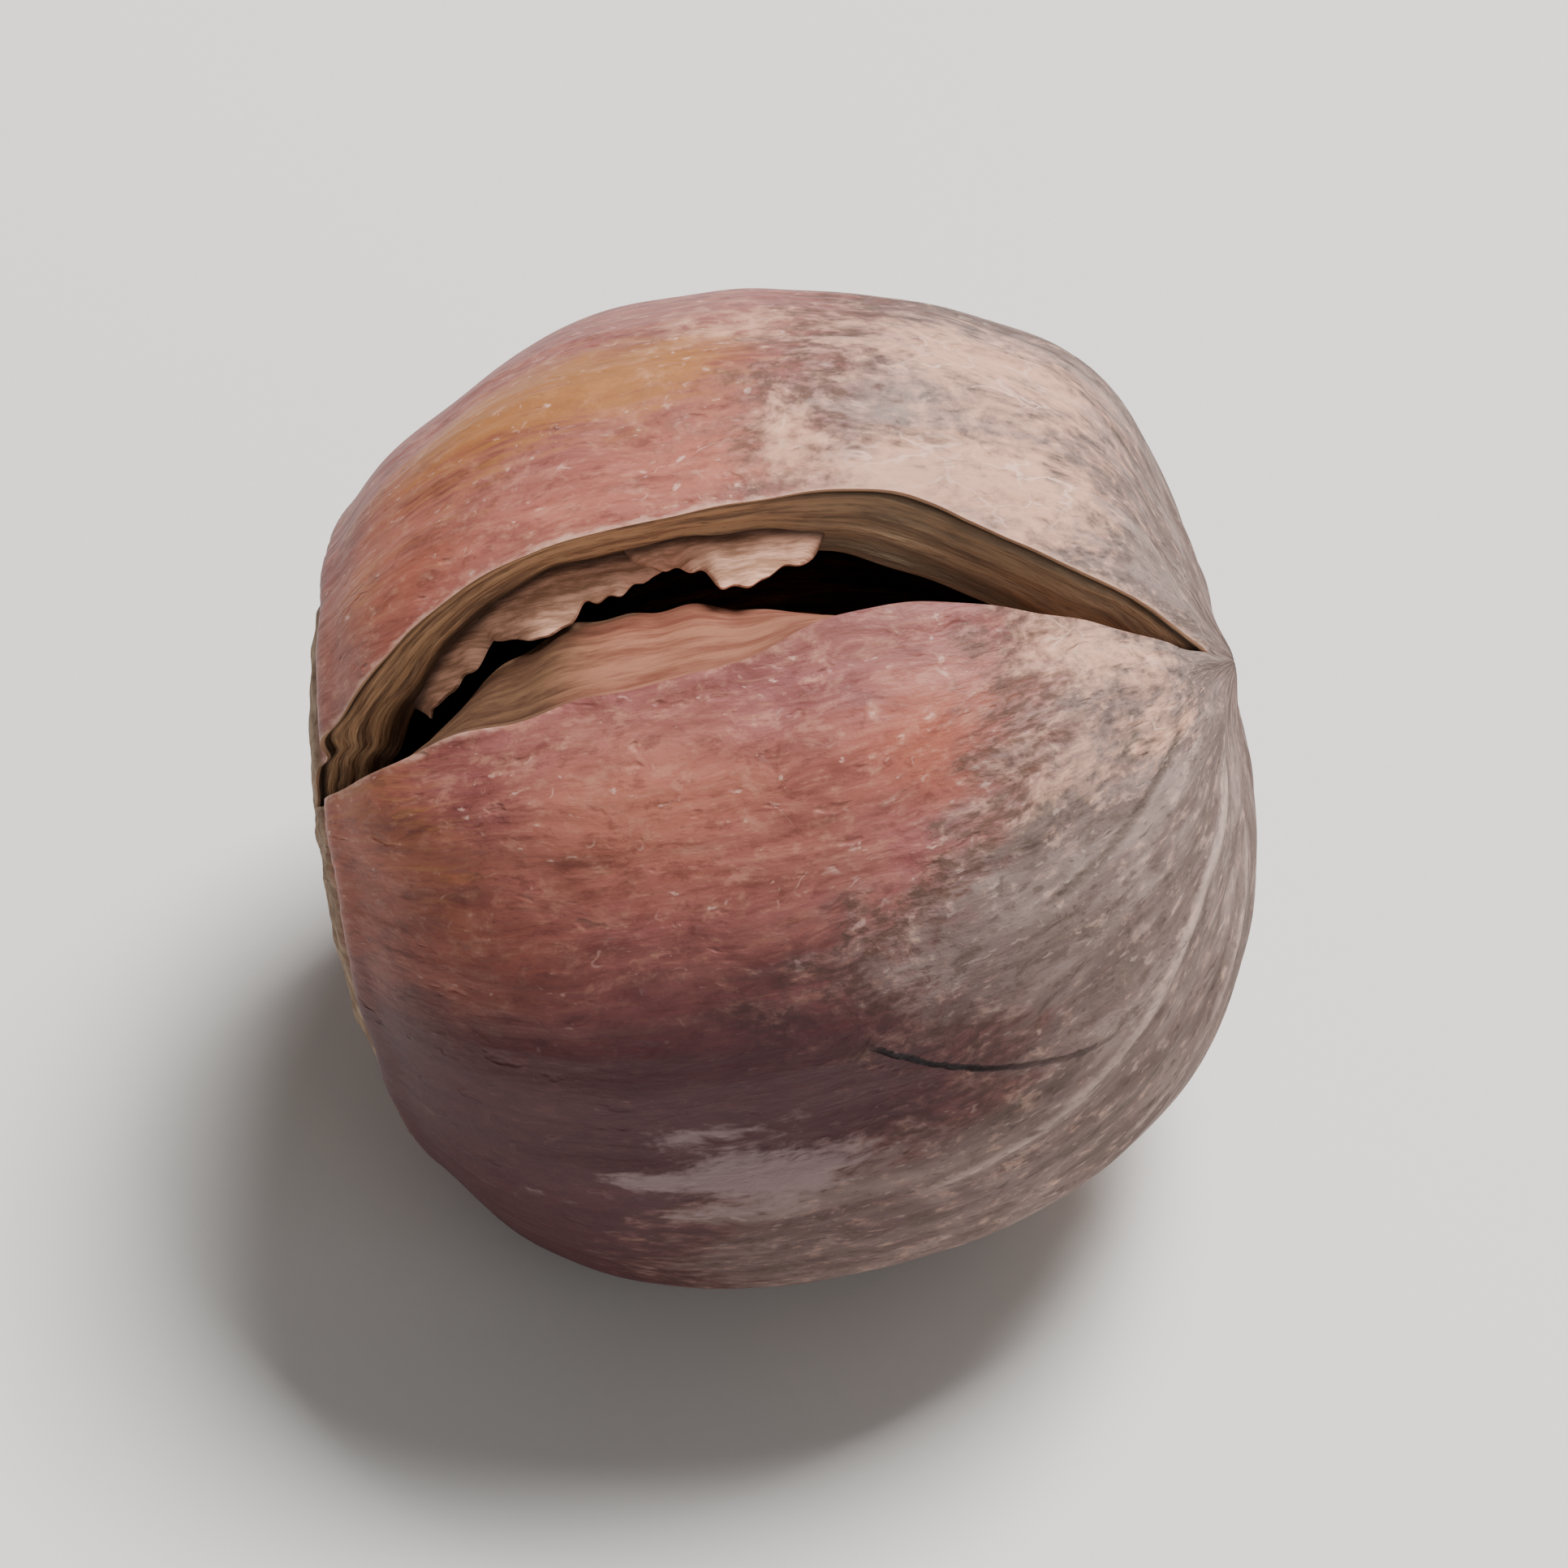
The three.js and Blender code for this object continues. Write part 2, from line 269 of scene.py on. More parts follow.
# The ovals that the solids are shaped from
OUTSIDE = {"base": BASE_TO_WIDEST, "tip": LENGTH - BASE_TO_WIDEST, "radius": RADIUS, "power": BLUNTNESS}
INSIDE = {
    "base": OUTSIDE["base"] - BASE_WALL,
    "tip": OUTSIDE["tip"] - TIP_WALL,
    "radius": RADIUS - WALL,
    "power": INNER_BLUNTNESS,
}
KERNEL = {"base": KERNEL_BASE, "tip": KERNEL_TIP, "radius": KERNEL_RADIUS, "power": KERNEL_BLUNTNESS}


def bump(value, middle, spread):
    """1 at the middle, falling off smoothly on both sides."""
    return np.exp(-(((value - middle) / spread) ** 2))


def blend(a, b, share):
    return a + (b - a) * share


def smooth(share):
    """Goes from 0 to 1 with soft ends."""
    share = np.clip(share, 0, 1)
    return share * share * (3 - 2 * share)


def waves(table, angle):
    """The sum of a table of even waves round the nut."""
    return sum(height * np.cos(count * angle + phase) for count, height, phase in table)


def random_phases(rates):
    """A table of waves for ripple: their rates, each with a random phase."""
    return rates, draws.uniform(0, TURN, len(rates))


def fibre_waves(number, fewest, most, drift):
    """Random waves round the nut, which wander as they run from base to tip."""
    counts = draws.integers(fewest, most, number)
    return random_phases(np.stack([counts, draws.normal(0, drift, number)], axis=1))


def lump_waves(number, size, dimensions):
    """Random waves in every direction, of about the size given in mm."""
    directions = draws.normal(size=(number, dimensions))
    directions /= np.linalg.norm(directions, axis=1, keepdims=True)
    return random_phases(directions * TURN / size * draws.uniform(0.6, 1.4, (number, 1)))


def ripple(table, *places):
    """The sum of a table of random waves, about -1 to 1."""
    rates, phases = table
    turns = np.stack(np.broadcast_arrays(*places), axis=-1) @ rates.T + phases
    return np.cos(turns).sum(axis=-1) / math.sqrt(len(phases))


FIBRES = fibre_waves(40, 40, 130, 5)
TIP_RIDGES = fibre_waves(24, 14, 44, 2.5)
DENTS = lump_waves(40, 2.6, 3)
DISC_GRIT = lump_waves(40, 0.9, 3)
CHIPPING = lump_waves(14, 3.2, 1)
SKIN_NICKS = lump_waves(16, 2.2, 1)
LAYER_WANDER = lump_waves(12, 9, 1)
INNER_TEARS = lump_waves(18, 2.4, 1)
STRIP_TEARS = lump_waves(18, 2.2, 1)
STRIP_FRAYS = lump_waves(18, 0.9, 1)
STRIP_CURL = lump_waves(16, 1.6, 2)
KERNEL_FURROWS = fibre_waves(30, 9, 34, 4)
KERNEL_GRIT = lump_waves(40, 0.9, 3)


def outline(form, latitude):
    """The blunt oval: distance along the axis from the widest ring, radius and outward normal."""
    cosine = -np.cos(np.radians(latitude))
    sine = np.abs(np.sin(np.radians(latitude)))
    half = np.where(cosine < 0, form["base"], form["tip"])
    along = np.sign(cosine) * np.abs(cosine) ** (2 / form["power"])
    across = sine ** (2 / form["power"])
    slope = form["power"] - 1
    normal_along = np.sign(along) * np.abs(along) ** slope / half
    normal_across = across**slope / form["radius"]
    size = np.hypot(normal_along, normal_across)
    return along * half, across * form["radius"], normal_along / size, normal_across / size


def distances(latitudes):
    """How far each latitude is from the base, in mm over the outside."""
    along, radius, _, _ = outline(OUTSIDE, latitudes)
    return np.concatenate([[0], np.cumsum(np.hypot(np.diff(along), np.diff(radius)))])


FINE_LATITUDES = np.linspace(0, 180, 3601)
FINE_DISTANCES = distances(FINE_LATITUDES)


def travelled(latitude):
    """How far a latitude is from the base, in mm over the outside."""
    return np.interp(latitude, FINE_LATITUDES, FINE_DISTANCES)


def even_latitudes(rows):
    """Latitudes that are equally far apart over the outside."""
    return np.interp(np.linspace(0, FINE_DISTANCES[-1], rows), FINE_DISTANCES, FINE_LATITUDES)


def swelling(latitude, angle):
    """How far the back shoulder swells out of the oval."""
    round_share = bump(2 * np.sin((angle - SWELL_ANGLE) / 2), 0, SWELL_SPREAD)
    return round_share * sum(height * bump(latitude, middle, spread) for height, middle, spread in SWELLS)


def turn_between(angle, other):
    """The turn from the other angle to this one, the shorter way round."""
    return (angle - other + math.pi) % TURN - math.pi


def relief(latitude, angle, radius):
    """Ribs and lumps along the sides, a groove and ring round the base disc, creases at the tip."""
    side = np.abs(np.sin(np.radians(latitude)))
    height = side**1.5 * waves(RIBS, angle) + side**2 * waves(LUMPS, angle) + swelling(latitude, angle)
    disc = RING_HEIGHT * bump(radius, RING_RADIUS, RING_WIDTH)
    disc = disc - GROOVE_DEPTH * bump(radius, DISC_RADIUS, GROOVE_WIDTH)
    creases = np.cos(CREASE_COUNT * (angle + CREASE_SWIRL * radius))
    tip = CREASE_HEIGHT * creases * bump(radius, CREASE_RADIUS, CREASE_SPREAD)
    tip = tip + NIB_HEIGHT * bump(radius, 0, NIB_RADIUS)
    return height + np.where(latitude < 90, disc, tip)


def tip_lines(latitude, angle, radius):
    """Single ridges (above 0) and furrows (below 0) that run to the tip."""
    total = np.zeros(np.broadcast(latitude, angle).shape)
    for height, half_width, *stops in TIP_LINES:
        latitudes, turns = zip(*stops)
        off = radius * turn_between(angle, np.radians(np.interp(latitude, latitudes, turns)))
        start = smooth((latitude - latitudes[0]) / TIP_LINE_FADE)
        end = smooth((latitudes[-1] - latitude) / TIP_LINE_FADE)
        total = total + height * start * end * bump(off, 0, half_width)
    return total


def fine_relief(latitude, angle, radius, points):
    """Fibres along the skin, small dents, ridges that meet at the tip, and the gritty disc."""
    climb = np.radians(latitude)
    places = np.moveaxis(points, -1, 0)
    height = FIBRE_HEIGHT * np.sin(climb) * ripple(FIBRES, angle, climb)
    height = height + DENT_HEIGHT * ripple(DENTS, *places)
    ridged = smooth((latitude - TIP_RIDGE_START) / TIP_RIDGE_RISE)
    ridged = ridged * np.minimum(1, radius / TIP_RIDGE_RADIUS)
    height = height + TIP_RIDGE_HEIGHT * ridged * ripple(TIP_RIDGES, angle, climb)
    height = height + TIP_LINE_HEIGHT * tip_lines(latitude, angle, radius)
    on_disc = np.where(latitude < 90, smooth((DISC_RADIUS - radius) / DISC_EDGE), 0)
    return height + DISC_ROUGHNESS * on_disc * ripple(DISC_GRIT, *places)


def openness(latitude):
    """How far the crack is open, as a share of its widest gap."""
    share = np.clip((latitude - CRACK_START) / (CRACK_END - CRACK_START), 0, 1)
    return np.where(share < 1, np.sin(math.pi * share**GAP_SKEW), 0)


def crack_middle(latitude):
    """The angle of the bowed line that the crack follows."""
    turn = math.pi * (latitude - CRACK_BOW_LATITUDE) / CRACK_BOW_SPREAD
    return -np.radians(CRACK_ANGLE + CRACK_BOW * np.cos(turn) ** 2)


def tear(side, latitude, depth):
    """How far the cut is set back from a smooth one: overhung skin, layers and ragged edges."""
    along = travelled(latitude) + LIPS_APART * side
    nicks = SKIN_RAGGEDNESS * ripple(SKIN_NICKS, along)
    if side > 0:
        chipped = bump(latitude, FRONT_CHIP_LATITUDE, CHIP_RAGGED_SPREAD)
        nicks = nicks + CHIP_RAGGEDNESS * chipped * ripple(CHIPPING, along)
    turns = LAYER_COUNT * depth + LAYER_DRIFT * ripple(LAYER_WANDER, along)
    layers = LAYER_HEIGHT * np.sin(TURN * turns) * smooth(depth / LAYER_START)
    overhang = SKIN_OVERHANG * smooth((depth - SKIN_DEPTH) / SKIN_STEP)
    inner = INNER_RAGGEDNESS * depth * ripple(INNER_TEARS, along)
    return (1 - depth) * nicks + layers + overhang + inner


def front_set_back(latitude, depth):
    """How far the front lip is chipped, ledged and dipped back from the middle of the crack."""
    spread = np.where(latitude < FRONT_CHIP_LATITUDE, *FRONT_CHIP_SPREADS)
    chip = FRONT_CHIP * bump(latitude, FRONT_CHIP_LATITUDE, spread)
    ledge = FRONT_LEDGE * bump(latitude, FRONT_LEDGE_LATITUDE, FRONT_LEDGE_SPREAD)
    dip = FRONT_DIP * bump(latitude, FRONT_DIP_LATITUDE, FRONT_DIP_SPREAD)
    return (1 - depth) * chip + dip - depth * ledge


def back_set_back(latitude, depth):
    """How far the back lip is slanted, chipped and undercut."""
    chip = BACK_SLANT + BACK_CHIP * bump(latitude, BACK_CHIP_LATITUDE, BACK_CHIP_SPREAD)
    undercut = BACK_UNDERCUT * bump(latitude, BACK_UNDERCUT_LATITUDE, BACK_UNDERCUT_SPREAD)
    return (1 - depth) * chip + depth * undercut


def lip_angle(side, latitude, depth):
    """The angle of the front lip (side 1) or back lip (side -1), at a depth in the wall."""
    opened = openness(latitude)
    set_back = front_set_back(latitude, depth) if side > 0 else back_set_back(latitude, depth)
    set_back = set_back + tear(side, latitude, depth)
    width = HALF_GAP * opened + set_back * np.minimum(1, opened / NARROW)
    _, radius, _, _ = wall_section(latitude, depth)
    return crack_middle(latitude) + side * width / np.maximum(radius, SMALLEST_RADIUS)


def lift(latitude, angle_from_back_lip):
    """How far the shell is sprung outwards behind the crack."""
    share = np.clip(angle_from_back_lip / BACK_LIFT_SPREAD, 0, 1)
    return BACK_LIFT * openness(latitude) * (1 - share) ** 2 * (1 + 2 * share)


def nut_axes():
    """Unit vectors in the world: angle zero, a quarter turn on, and the axis to the tip."""
    axis = Vector((math.cos(TIP_TURN), math.sin(TIP_TURN), math.tan(TIP_RISE))).normalized()
    zero = (Vector((0, 0, 1)) - axis * axis.z).normalized()
    zero.rotate(Quaternion(axis, ROLL))
    return np.array([zero, axis.cross(zero), axis])


NUT_AXES = nut_axes()
BEND_RADIUS = LENGTH / BEND


def place(along, radius, angle):
    """Points along and about the axis, bent and bellied like the nut, in the world."""
    share = (along + BASE_TO_WIDEST) / LENGTH
    swing = (share - 0.5) * BEND
    arm = BEND_RADIUS + radius * np.sin(angle) + BELLY * np.sin(math.pi * share)
    across = radius * np.cos(angle)
    bent = np.stack([across, arm * np.cos(swing) - BEND_RADIUS, arm * np.sin(swing)], axis=-1)
    return bent @ NUT_AXES + MIDDLE


def wall_section(latitude, depth):
    """The outline at a depth in the shell's wall, from 0 outside to 1 inside."""
    along, radius, normal_along, normal_across = outline(OUTSIDE, latitude)
    inner_along, inner_radius, _, _ = outline(INSIDE, latitude)
    return blend(along, inner_along, depth), blend(radius, inner_radius, depth), normal_along, normal_across


def wall_points(latitude, angle, depth, lifted):
    """Points in the shell's wall: the relief fades out inwards, and the nut is flat where it rests."""
    latitude, angle, depth, lifted = np.broadcast_arrays(latitude, angle, depth, lifted)
    along, radius, normal_along, normal_across = wall_section(latitude, depth)
    smooth_points = place(along, radius, angle)
    height = relief(latitude, angle, radius) + fine_relief(latitude, angle, radius, smooth_points)
    height = height * np.clip(1 - depth, 0, 1)
    points = place(along + normal_along * height, radius + normal_across * (height + lifted), angle)
    points[..., 2] = np.maximum(points[..., 2], 0)
    return points


class Skin:
    """Collects numbered vertices by latitude, angle and depth, and the faces between them."""

    def __init__(self):
        self.count = 0
        self.vertices = []
        self.faces = []
        self.materials = []

    def add(self, latitude, angle, depth, lifted=0):
        """Adds a grid of vertices and returns their numbers in the same rows and columns."""
        latitude, angle, depth, lifted = np.broadcast_arrays(latitude, angle, depth, lifted)
        points = wall_points(latitude, angle, depth, lifted)
        columns = [latitude[..., None], angle[..., None], depth[..., None], points]
        self.vertices.append(np.concatenate(columns, axis=-1).reshape(-1, 6))
        numbers = self.count + np.arange(latitude.size).reshape(latitude.shape)
        self.count += latitude.size
        return numbers

    def quads(self, rows, material=0, flip=False):
        """Joins neighbouring rows and columns, leaving out corners that have met."""
        corners = [rows[:-1, :-1], rows[:-1, 1:], rows[1:, 1:], rows[1:, :-1]]
        for face in np.stack(corners[::-1] if flip else corners, axis=-1).reshape(-1, 4).tolist():
            corners_left = list(dict.fromkeys(face))
            if len(corners_left) > 2:
                self.faces.append(corners_left)
                self.materials.append(material)

    def mesh(self, name, shader_values):
        """The mesh in metres, without unused vertices, with the values that its shaders read."""
        table = np.concatenate(self.vertices)
        used = np.zeros(len(table), bool)
        used[[number for face in self.faces for number in face]] = True
        renumbered = np.cumsum(used) - 1
        faces = [renumbered[face].tolist() for face in self.faces]
        table = table[used]
        mesh = bpy.data.meshes.new(name)
        mesh.from_pydata((table[:, 3:] * MM).tolist(), [], faces)
        mesh.polygons.foreach_set("material_index", self.materials)
        for key, values in shader_values(*table[:, :3].T).items():
            store(mesh, key, values)
        return mesh


def store(mesh, key, values):
    """Keeps a number or a vector for every vertex, for the shaders."""
    is_vector = values.ndim == 2
    attribute = mesh.attributes.new(key, "FLOAT_VECTOR" if is_vector else "FLOAT", "POINT")
    attribute.data.foreach_set("vector" if is_vector else "value", values.astype(np.float32).ravel())


def grain(latitude, angle):
    """Shader coordinates in mm that run round the nut and along it."""
    across = [GRAIN_RADIUS * np.cos(angle), GRAIN_RADIUS * np.sin(angle)]
    return np.stack([*across, travelled(latitude)], axis=-1)


def patches(table, latitude, angle):
    """How strongly patches of a kind cover each vertex, from 0 to 1."""
    total = np.zeros(latitude.shape)
    for middle, turn, spread_along, spread_round, strength in table:
        off = turn_between(angle, math.radians(turn))
        total += strength * bump(latitude, middle, spread_along) * bump(off, 0, math.radians(spread_round))
    return np.minimum(total, 1)


def hairline(latitude, angle):
    """Distance across the hairline split in mm, and the share of the way along it."""
    ends = [np.array([travelled(lat), RADIUS * math.radians(turn)]) for lat, turn in HAIRLINE]
    line = ends[1] - ends[0]
    off = np.stack([travelled(latitude), RADIUS * turn_between(angle, 0)], axis=-1) - ends[0]
    across = (off[..., 0] * line[1] - off[..., 1] * line[0]) / np.linalg.norm(line)
    share = off @ line / (line @ line)
    across = across + HAIRLINE_BOW * np.sin(math.pi * np.clip(share, 0, 1))
    across = np.clip(across, -HAIRLINE_REACH, HAIRLINE_REACH)
    return np.stack([across, np.clip(share, -1, 2), np.zeros_like(share)], axis=-1)


def to_lip(latitude, angle, radius):
    """Distance over the outside to the nearer lip, and whether that is the front one."""
    turned = np.where(angle < crack_middle(latitude), angle + TURN, angle)
    front = turned - lip_angle(1, latitude, 0)
    back = lip_angle(-1, latitude, 0) + TURN - turned
    return np.where(openness(latitude) > 0, radius * np.minimum(front, back), LIP_REACH), front < back


def shell_values(latitude, angle, depth):
    """Everything that the shell's shaders read, for each vertex."""
    _, radius, _, _ = wall_section(latitude, depth)
    edge_angles, edge_latitudes = zip(*DOWN_EDGE)
    edge = np.interp(np.degrees(angle), edge_angles, edge_latitudes, period=360)
    from_lip, at_front = to_lip(latitude, angle, radius)
    first, last = CHIP_ROUNDED
    rounded = np.where(at_front, smooth((latitude - first) / (last - first)), 0)
    in_disc = np.where(latitude < 90, DISC_RADIUS - radius, -DISC_REACH)
    return {
        "grain": grain(latitude, angle),
        "depth": depth,
        "down": (latitude - edge) / DOWN_SOFTNESS,
        "disc": np.clip(in_disc, -DISC_REACH, DISC_REACH),
        "from_lip": np.clip(from_lip + ROUNDED_EXTRA * rounded, 0, LIP_REACH),
        "rounded": rounded,
        "front_lip": np.where(at_front, 1.0, 0.0),
        "ochre": patches(OCHRE_PATCHES, latitude, angle),
        "russet": patches(RUSSET_PATCHES, latitude, angle),
        "rosy_and_sheen": patches(ROSY_AND_SHEEN_PATCHES, latitude, angle),
        "painted_shade": patches(PAINTED_SHADE_PATCHES, latitude, angle),
        "pale": patches(PALE_AND_LIT_PATCHES, latitude, angle),
        "bloom": patches(BLOOM_PATCHES, latitude, angle),
        "ridge": tip_lines(latitude, angle, radius),
        "hairline": hairline(latitude, angle),
    }


def close_rows(numbers, latitude):
    """Makes the last column the first where the crack is closed, and one point of each pole."""
    closed = openness(latitude) <= 0
    numbers[closed, -1] = numbers[closed, 0]
    for pole in (0, -1):
        numbers[pole] = numbers[pole, 0]
    return numbers


def shell_sheet(skin, latitude, depth, columns):
    """The outside or inside of the shell, from the front lip right round to the back lip."""
    start = lip_angle(1, latitude, depth)[:, None]
    end = lip_angle(-1, latitude, depth)[:, None] + TURN
    start, end = np.where(openness(latitude)[:, None] > 0, [start, end], [start, start + TURN])
    angle = blend(start, end, np.linspace(0, 1, columns + 1))
    numbers = skin.add(latitude[:, None], angle, depth, lift(latitude[:, None], end - angle))
    return close_rows(numbers, latitude)


def lip_sheet(skin, latitude, side, outer, inner):
    """One cut face of the crack, through the wall, joined to the outside and the inside."""
    depth = np.linspace(0, 1, WALL_LAYERS + 1)[None, 1:-1]
    angle = lip_angle(side, latitude[:, None], depth)
    lifted = 0 if side > 0 else lift(latitude[:, None], 0)
    between = skin.add(latitude[:, None], angle, depth, lifted)
    return np.concatenate([outer[:, None], between, inner[:, None]], axis=1)


def shell_mesh():
    """The shell: its outside, its inside and the two cut faces of the crack, as one closed skin."""
    skin = Skin()
    latitude = even_latitudes(SHELL_ROWS)
    outer = shell_sheet(skin, latitude, 0.0, OUTER_COLUMNS)
    inner = shell_sheet(skin, latitude, 1.0, INNER_COLUMNS)
    opened = np.flatnonzero(openness(latitude) > 0)
    cut = slice(opened[0] - 1, opened[-1] + 2)
    front = lip_sheet(skin, latitude[cut], 1, outer[cut, 0], inner[cut, 0])
    back = lip_sheet(skin, latitude[cut], -1, outer[cut, -1], inner[cut, -1])
    back[[0, -1]] = front[[0, -1]]
    skin.quads(outer, OUTER_MATERIAL)
    skin.quads(inner, INNER_MATERIAL, flip=True)
    skin.quads(front, CUT_MATERIAL, flip=True)
    skin.quads(back, CUT_MATERIAL)
    return skin.mesh("cracked_shell", shell_values)


def strip_values(latitude, angle, depth):
    """What the lining's shader reads: the grain, and how near the root each vertex is."""
    reach = (angle - lip_angle(-1, latitude, depth)) * wall_section(latitude, depth)[1]
    return {"grain": grain(latitude, angle), "rooted": 1 - np.clip(reach, 0, 1)}


def strip_grid(first, last, gap_share, root_depth):
    """Latitude, angle and depth over one strip, and half its thickness as a share of the wall."""
    share = np.linspace(0, 1, STRIP_ROWS + 1)[:, None]
    across = np.linspace(0, 1, STRIP_COLUMNS + 1)[None, :]
    latitude = blend(first, last, share)
    along = travelled(latitude)
    _, radius, _, _ = wall_section(latitude, 1)
    root = lip_angle(-1, latitude, root_depth) - LINING_ROOT / radius
    gap = lip_angle(1, latitude, 1) - root
    torn = gap_share * gap * (1 + LINING_TEARS * ripple(STRIP_TEARS, along))
    frayed = LINING_FRAYS / radius * ripple(STRIP_FRAYS, along)
    reach = (torn + frayed) * np.sin(math.pi * share) ** LINING_TAPER + LINING_ROOT / radius
    curl = LINING_CURL * ripple(STRIP_CURL, along, across) * across
    depth = root_depth + LINING_DROOP * across**1.5 + curl
    thinned = np.sin(math.pi * blend(LINING_THIN_END, 1 - LINING_THIN_END, share))
    half = LINING_THICKNESS / WALL / 2 * thinned
    return latitude, root + across * reach, depth, half


def rim(numbers):
    """The numbers round the edge of a grid, ending with the first again."""
    return np.concatenate([numbers[0], numbers[1:, -1], numbers[-1, -2::-1], numbers[-2::-1, 0]])


def strip_mesh():
    """Thin torn strips of lining that hang from the back lip into the crack."""
    skin = Skin()
    for strip in LINING_STRIPS:
        latitude, angle, depth, half = strip_grid(*strip)
        lifted = lift(latitude, 0)
        top = skin.add(latitude, angle, depth - half, lifted)
        bottom = skin.add(latitude, angle, depth + half, lifted)
        skin.quads(top)
        skin.quads(bottom, flip=True)
        skin.quads(np.array([rim(top), rim(bottom)]), flip=True)
    return skin.mesh("torn_lining", strip_values)


def kernel_surface(latitude, angle):
    """Points on the wrinkled, furrowed and gritty kernel, and the depth of its furrows."""
    along, radius, _, _ = outline(KERNEL, latitude)
    along = along + KERNEL_SLIDE
    climb = np.radians(latitude)
    wrinkle = waves(KERNEL_WRINKLES, angle) * np.sin(climb) ** 2
    furrow = -KERNEL_FURROW * np.abs(ripple(KERNEL_FURROWS, angle, climb)) * np.sin(climb)
    even = np.moveaxis(place(along, radius, angle), -1, 0)
    grit = KERNEL_GRIT_HEIGHT * ripple(KERNEL_GRIT, *even)
    return place(along, radius + wrinkle + furrow + grit, angle), furrow


def ring_faces(numbers, base, tip):
    """Faces between rings of vertices, and from the first and last ring to a point."""
    around = np.roll(numbers, -1, axis=1)
    quads = np.stack([numbers[:-1], around[:-1], around[1:], numbers[1:]], axis=-1).reshape(-1, 4)
    base_cap = [(base, b, a) for a, b in zip(numbers[0].tolist(), around[0].tolist())]
    tip_cap = [(tip, a, b) for a, b in zip(numbers[-1].tolist(), around[-1].tolist())]
    return quads.tolist() + base_cap + tip_cap


def kernel_mesh():
    """The kernel, as rings of vertices and a point at each end."""
    latitude = np.linspace(0, 180, KERNEL_ROWS + 1)[1:-1, None]
    angle = np.linspace(0, TURN, KERNEL_COLUMNS, endpoint=False)[None, :]
    rings, furrow = kernel_surface(latitude, angle)
    ends = np.array([-KERNEL_BASE, KERNEL_TIP]) + KERNEL_SLIDE
    points = np.concatenate([rings.reshape(-1, 3), place(ends, np.zeros(2), 0)]) - [0, 0, KERNEL_DROP]
    numbers = np.arange(furrow.size).reshape(furrow.shape)
    mesh = bpy.data.meshes.new("kernel_skin")
    mesh.from_pydata((points * MM).tolist(), [], ring_faces(numbers, furrow.size, furrow.size + 1))
    latitudes = np.append(np.broadcast_to(latitude, furrow.shape), [0, 180])
    angles = np.append(np.broadcast_to(angle, furrow.shape), [0, 0])
    store(mesh, "grain", grain(latitudes, angles))
    store(mesh, "furrow", np.append(furrow / KERNEL_FURROW, [0, 0]))
    return mesh


def colour(code):
    """A colour written as in a web page, as Blender's linear values."""
    parts = [int(code[i : i + 2], 16) / 255 for i in (1, 3, 5)]
    return [part / 12.92 if part <= 0.04045 else ((part + 0.055) / 1.055) ** 2.4 for part in parts] + [1]


